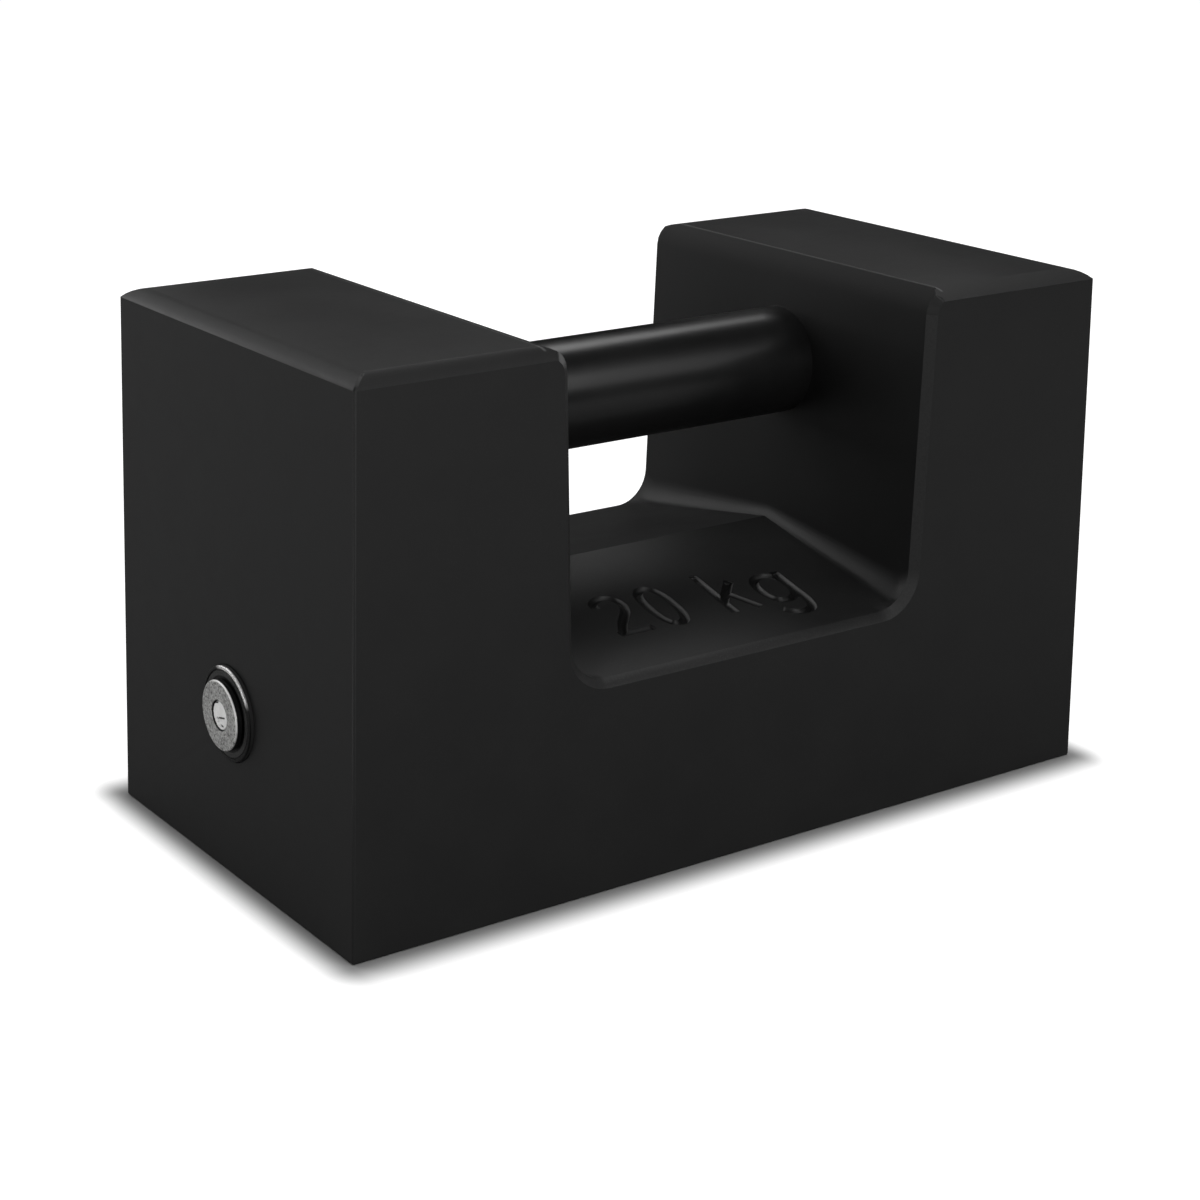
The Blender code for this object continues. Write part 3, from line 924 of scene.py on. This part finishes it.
PAINT_SKIN = paint_skin_group()
WORN_AND_LIT_EDGES = worn_and_lit_edge_group()
FINE_DUST = fine_dust_group()
PITTING = pitting_group()


def lip_highlight_line(nodes, links, place, colour):
    """A painted highlight: a thin light line along the top of both tower lips."""
    parts = split_node(nodes, links, place)
    across = math_node(nodes, links, "ABSOLUTE", parts["X"])
    off = math_node(nodes, links, "ABSOLUTE", math_node(
        nodes, links, "SUBTRACT", across, LIP_HIGHLIGHT_PLACE))
    near = range_node(nodes, links, off, LIP_HIGHLIGHT_WIDTH / 2, 0)
    high = range_node(
        nodes, links, parts["Z"], LIP_FOOT, LIP_FOOT + 0.3 * MM, 0, LIP_HIGHLIGHT_SHARE)
    return mix_colour(
        nodes, links, math_node(nodes, links, "MULTIPLY", near, high), colour, PAINTED_HIGHLIGHT)


def figure_groove_shading(nodes, links, place, colour):
    """Painted shade in the figures' grooves, and a painted highlight along their walls that face
    LIT_SIDE.
    """
    parts = split_node(nodes, links, place)
    rise = math_node(nodes, links, "MULTIPLY", parts["Y"], tan(SLOPE))
    plane = math_node(nodes, links, "ADD", rise, SLOPE_FOOT - FIGURES_FOOT * tan(SLOPE))
    depth = math_node(nodes, links, "SUBTRACT", plane, parts["Z"])
    across = math_node(nodes, links, "ABSOLUTE", parts["X"])
    inside = range_node(nodes, links, depth, 0.04 * MM, 0.2 * MM)
    bounds = (
        (depth, 2.2 * MM, 2 * MM), (across, FIGURE_REACH, FIGURE_REACH - 1 * MM),
        (parts["Y"], FIGURES_FOOT - 3 * MM, FIGURES_FOOT - 2 * MM),
        (parts["Y"], FIGURE_HEAD, FIGURE_HEAD - 1 * MM))
    for value, outside, within in bounds:
        inside = math_node(
            nodes, links, "MULTIPLY", inside, range_node(nodes, links, value, outside, within))
    facing = nodes.new("ShaderNodeNewGeometry").outputs["Normal"]
    side = vector_node(nodes, links, "DOT_PRODUCT", facing, LIT_SIDE)
    # painted highlight on the groove walls that face LIT_SIDE
    lit_walls = math_node(
        nodes, links, "MULTIPLY", range_node(nodes, links, side, 0.25, 0.6),
        range_node(nodes, links, depth, 1.0 * MM, 0.5 * MM))
    wall = mix_colour(nodes, links, lit_walls, GROOVE_SHADE, PAINTED_HIGHLIGHT)
    return mix_colour(nodes, links, inside, colour, wall)


def painted(name, dark, light, roughness, level, skin, wear, dust, bump, painted_light_marks=()):
    """Black paint: skin, thin edges that also carry a painted highlight, the painted light marks
    and dust, mixed into one finish. Bump is depth and strength.
    """
    material, nodes, links, shader, place = new_material(name)
    skin = place_group(nodes, links, PAINT_SKIN, place, **skin)
    worn_and_lit = place_group(nodes, links, WORN_AND_LIT_EDGES, place, **wear)["Mask"]
    specks = place_group(nodes, links, FINE_DUST, place, **dust)["Mask"]
    colour = mix_colour(nodes, links, skin["Tone"], dark, light)
    # thin paint on the marked edges, which is also a painted highlight
    colour = mix_colour(nodes, links, worn_and_lit, colour, THIN_PAINT_AND_HIGHLIGHT)
    # painted light marks: painted highlights and painted shade
    for painted_light_mark in painted_light_marks:
        colour = painted_light_mark(nodes, links, place, colour)
    colour = mix_colour(nodes, links, specks, colour, DUST_COLOUR)
    links.new(colour, shader.inputs["Base Color"])
    rough = range_node(nodes, links, skin["Tone"], 0, 1, roughness - 0.015, roughness + 0.015)
    dusty = math_node(nodes, links, "MULTIPLY", specks, 0.4)
    links.new(math_node(nodes, links, "ADD", rough, dusty), shader.inputs["Roughness"])
    shader.inputs["Specular IOR Level"].default_value = level
    add_bump(nodes, links, shader, skin["Height"], *bump)
    return material


def from_axis(nodes, links, place):
    """The distance of a place from the plug's axis, and its parts, with heights from the axis."""
    centred = vector_node(nodes, links, "ADD", place, (0, 0, -PLUG_HEIGHT))
    flat = vector_node(nodes, links, "MULTIPLY", centred, (0, 1, 1))
    return vector_node(nodes, links, "LENGTH", flat), split_node(nodes, links, centred)


def washer_steel():
    """Blackened washer with a grey band, its side painted over in a grey lighter than the body's
    paint, as painted light, and its bare rim with a painted highlight on its upper, forward
    stretch.
    """
    material, nodes, links, shader, place = new_material("blackened_washer_steel")
    pitting = place_group(
        nodes, links, PITTING, place, grain_size=0.5 * MM, pit_size=1.3 * MM)
    mottle = pitting["Mottle"]
    reach, parts = from_axis(nodes, links, place)
    inner = range_node(nodes, links, reach, BAND_INSIDE - 0.15 * MM, BAND_INSIDE)
    outer = range_node(nodes, links, reach, BAND_OUTSIDE + 0.15 * MM, BAND_OUTSIDE)
    band = math_node(nodes, links, "MULTIPLY", inner, outer)
    rim = range_node(
        nodes, links, reach, WASHER_RADIUS - RIM_WIDTH - 0.05 * MM, WASHER_RADIUS - RIM_WIDTH)
    # painted highlight: only the rim's upper, forward stretch
    side = math_node(
        nodes, links, "SUBTRACT",
        math_node(nodes, links, "MULTIPLY", parts["Z"], cos(RIM_HIGHLIGHT_LEAN)),
        math_node(nodes, links, "MULTIPLY", parts["Y"], sin(RIM_HIGHLIGHT_LEAN)))
    side = range_node(nodes, links, side, 8.2 * MM, 10.2 * MM)
    ragged = range_node(nodes, links, mottle, 0.1, 0.5, 0.6, 1)
    rim_lit = math_node(nodes, links, "MULTIPLY", math_node(
        nodes, links, "MULTIPLY", rim, side), ragged)
    wall = range_node(
        nodes, links, parts["X"], washer_low.x + RIM_ROUND, washer_low.x + 2 * RIM_ROUND)
    grey = mix_colour(nodes, links, mottle, BAND_DARK, BAND_LIGHT)
    colour = mix_colour(nodes, links, band, BLACKENED, grey)
    colour = mix_colour(nodes, links, rim_lit, colour, RIM_HIGHLIGHT)
    # painted light: the side in a grey lighter than the body's paint
    colour = mix_colour(nodes, links, wall, colour, LIGHTENED_WALL)
    bare = math_node(nodes, links, "MULTIPLY", rim_lit, range_node(
        nodes, links, wall, 0, 1, 0.9, 0))
    links.new(colour, shader.inputs["Base Color"])
    links.new(bare, shader.inputs["Metallic"])
    links.new(range_node(nodes, links, mottle, 0, 1, 0.4, 0.55), shader.inputs["Roughness"])
    shader.inputs["Specular IOR Level"].default_value = 0.2
    add_bump(nodes, links, shader, pitting["Height"], 0.05 * MM, 0.5)
    return material


def plug_steel():
    """The plug's bare, pitted face with a painted highlight on its rim's upper, forward part and
    painted shade in the seal's recess, and its near-black side.
    """
    material, nodes, links, shader, place = new_material("bare_pitted_steel")
    pitting = place_group(
        nodes, links, PITTING, place, grain_size=0.55 * MM, pit_size=0.8 * MM)
    reach, parts = from_axis(nodes, links, place)
    face = range_node(
        nodes, links, parts["X"], plug_low.x + 0.45 * MM, plug_low.x + 0.25 * MM)
    rim = range_node(nodes, links, reach, HEAD_RADIUS - 0.6 * MM, HEAD_RADIUS - 0.25 * MM)
    steel = mix_colour(nodes, links, pitting["Mottle"], STEEL_DARK, STEEL_LIGHT)
    steel = mix_colour(nodes, links, pitting["Pits"], steel, STEEL_PIT)
    # painted highlight: only on the rim's upper, forward part
    side = range_node(nodes, links, math_node(
        nodes, links, "SUBTRACT", parts["Z"], parts["Y"]), 2 * MM, 9 * MM)
    rim = math_node(nodes, links, "MULTIPLY", rim, side)
    steel = mix_colour(nodes, links, rim, steel, STEEL_RIM_HIGHLIGHT)
    # painted shade in the seal's recess and at its edge
    recess_shade_mask = range_node(
        nodes, links, reach, SEAL_RADIUS + 2 * SEAL_GAP, SEAL_RADIUS + SEAL_GAP)
    steel = mix_colour(nodes, links, recess_shade_mask, steel, RECESS_SHADE)
    # the head's side is near black, its face bare steel
    colour = mix_colour(nodes, links, face, STEEL_SIDE, steel)
    links.new(colour, shader.inputs["Base Color"])
    links.new(range_node(nodes, links, face, 0, 1, 0, 0.55), shader.inputs["Metallic"])
    shader.inputs["Specular IOR Level"].default_value = 0.15
    links.new(range_node(nodes, links, pitting["Mottle"], 0, 1, 0.42, 0.6),
              shader.inputs["Roughness"])
    add_bump(nodes, links, shader, pitting["Height"], 0.09 * MM, 0.7)
    return material


def seal_metal():
    """Pressed white metal, dull along its rim, with painted shade in its marks and round its sides.
    """
    material, nodes, links, shader, place = new_material("bright_seal_metal")
    pitting = place_group(
        nodes, links, PITTING, place, grain_size=1.6 * MM, pit_size=0.9 * MM)
    reach, parts = from_axis(nodes, links, place)
    # painted shade on all that lies deeper than the seal's face
    mark = range_node(
        nodes, links, parts["X"], seal_low.x + 0.2 * MM, seal_low.x + 0.4 * MM)
    edge = range_node(nodes, links, reach, SEAL_RADIUS - 0.5 * MM, SEAL_RADIUS - 0.1 * MM)
    colour = mix_colour(nodes, links, pitting["Mottle"], SEAL_DULL, SEAL_BRIGHT)
    colour = mix_colour(nodes, links, edge, colour, SEAL_EDGE)
    colour = mix_colour(nodes, links, mark, colour, SEAL_SHADE)
    links.new(colour, shader.inputs["Base Color"])
    links.new(range_node(nodes, links, pitting["Mottle"], 0, 1, 0.42, 0.6),
              shader.inputs["Roughness"])
    add_bump(nodes, links, shader, pitting["Height"], 0.06 * MM, 0.6)
    return material


def shot_metal():
    """Grey lead with a faint mottle and small dents."""
    material, nodes, links, shader, place = new_material("lead_shot")
    pitting = place_group(
        nodes, links, PITTING, place, grain_size=0.7 * MM, pit_size=0.9 * MM)
    colour = mix_colour(nodes, links, pitting["Mottle"], LEAD_DARK, LEAD_LIGHT)
    links.new(colour, shader.inputs["Base Color"])
    shader.inputs["Metallic"].default_value = 0.9
    links.new(range_node(nodes, links, pitting["Pits"], 0, 1, 0.45, 0.6),
              shader.inputs["Roughness"])
    add_bump(nodes, links, shader, pitting["Height"], 0.04 * MM, 0.5)
    return material


def finish_piece(piece, material, slot, *nodes):
    """Give a piece its material, its body and the CAD nodes that it stands for."""
    piece.data.materials.clear()
    piece.data.materials.append(material)
    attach(piece, "root")
    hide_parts(*nodes)


def floor_material():
    """Grey floor that keeps the contact shadow; to the camera it runs out to plain white away from
    the block, so its grey ring near the block is a painted shadow.
    """
    material, nodes, links, shader, place = new_material("white_floor")
    shader.inputs["Base Color"].default_value = (FLOOR_GREY, FLOOR_GREY, FLOOR_GREY, 1)
    shader.inputs["Roughness"].default_value = 0.9
    shader.inputs["Specular IOR Level"].default_value = 0.0
    outline = vector_node(nodes, links, "ABSOLUTE", place)
    beyond = vector_node(nodes, links, "SUBTRACT", outline, (cad_box[1].x, cad_box[1].y, 0))
    outside = vector_node(nodes, links, "MAXIMUM", beyond, (0, 0, 0))
    stretched = vector_node(nodes, links, "MULTIPLY", outside, (SHADOW_SQUEEZE, 1, 0))
    distance = vector_node(nodes, links, "LENGTH", stretched)
    rays = nodes.new("ShaderNodeLightPath").outputs
    # painted shadow: to the camera the floor stays grey near the block
    seen = math_node(
        nodes, links, "MULTIPLY", rays["Is Camera Ray"],
        range_node(nodes, links, distance, 0, SHADOW_REACH))
    mirrored = math_node(
        nodes, links, "MULTIPLY", rays["Is Glossy Ray"],
        range_node(nodes, links, distance, 0, MIRROR_REACH, 0, MIRROR_GLOW))
    in_front = range_node(
        nodes, links, split_node(nodes, links, place)["Y"], MIRROR_TURN, -MIRROR_TURN,
        MIRROR_BACK, 1)
    mirrored = math_node(nodes, links, "MULTIPLY", mirrored, in_front)
    shader.inputs["Emission Color"].default_value = (1, 1, 1, 1)
    links.new(math_node(nodes, links, "ADD", seen, mirrored), shader.inputs["Emission Strength"])
    return material


def floor():
    deselect_all()
    bpy.ops.mesh.primitive_plane_add(size=FLOOR_SIZE, location=(0, 0, 0))
    plane = bpy.context.object
    plane.name = "studio_floor"
    plane.data.materials.append(floor_material())


def softbox(name, azimuth, elevation, width, height, power):
    """A rectangular lamp aimed at the block. Azimuth 0 is in front, 90 is to the right."""
    azimuth = radians(azimuth)
    elevation = radians(elevation)
    direction = Vector((
        sin(azimuth) * cos(elevation), -cos(azimuth) * cos(elevation), sin(elevation)))
    bpy.ops.object.light_add(type="AREA", location=OBJECT_MIDDLE + direction * LAMP_DISTANCE)
    lamp = bpy.context.object
    lamp.name = name
    lamp.data.shape = "RECTANGLE"
    lamp.data.size = width
    lamp.data.size_y = height
    lamp.data.energy = power
    lamp.rotation_euler = (-direction).to_track_quat("-Z", "Y").to_euler()
    lamp.visible_camera = False


def studio():
    floor()
    for box in SOFTBOXES:
        softbox(*box)
    world = bpy.data.worlds.new("studio_air")
    scene.world = world
    world.use_nodes = True
    nodes = world.node_tree.nodes
    background = nodes["Background"]
    background.inputs["Color"].default_value = (1, 1, 1, 1)
    path = nodes.new("ShaderNodeLightPath")
    world.node_tree.links.new(path.outputs["Is Camera Ray"], background.inputs["Strength"])
    scene.view_settings.view_transform = "Standard"


camera()
body_paint = painted(
    "black_paint_on_cast_iron", PAINT_DARK, PAINT_LIGHT, 0.5, 0.25,
    {"peel_size": 0.9 * MM, "cast_size": 16 * MM, "cast_share": 0.5},
    {"wear": 0.8, "grain_size": 0.6 * MM}, {"amount": 0.06, "speck_size": 0.4 * MM},
    (0.02 * MM, 0.4), (lip_highlight_line, figure_groove_shading))
bar_paint = painted(
    "black_enamel_on_bar", ENAMEL_DARK, ENAMEL_LIGHT, 0.3, 0.35,
    {"peel_size": 1.4 * MM, "cast_size": 24 * MM, "cast_share": 1.0},
    {"wear": 0.5, "grain_size": 0.9 * MM}, {"amount": 0.02, "speck_size": 0.4 * MM},
    (0.012 * MM, 0.4))
finish_piece(body_casting(), body_paint, "body_paint", "weight_body")
finish_piece(grab_bar(), bar_paint, "bar_enamel", "grab_bar")
finish_piece(plug_washer(), washer_steel(), "washer_steel", "plug_washer")
finish_piece(plug(), plug_steel(), "plug_steel", "adjusting_plug")
finish_piece(seal(), seal_metal(), "seal_metal", "seal_pellet")
lead = shot_metal()
for node_name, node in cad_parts.items():
    if node_name not in REPLACED_NODES:
        node.data.materials.clear()
        node.data.materials.append(lead)
studio()
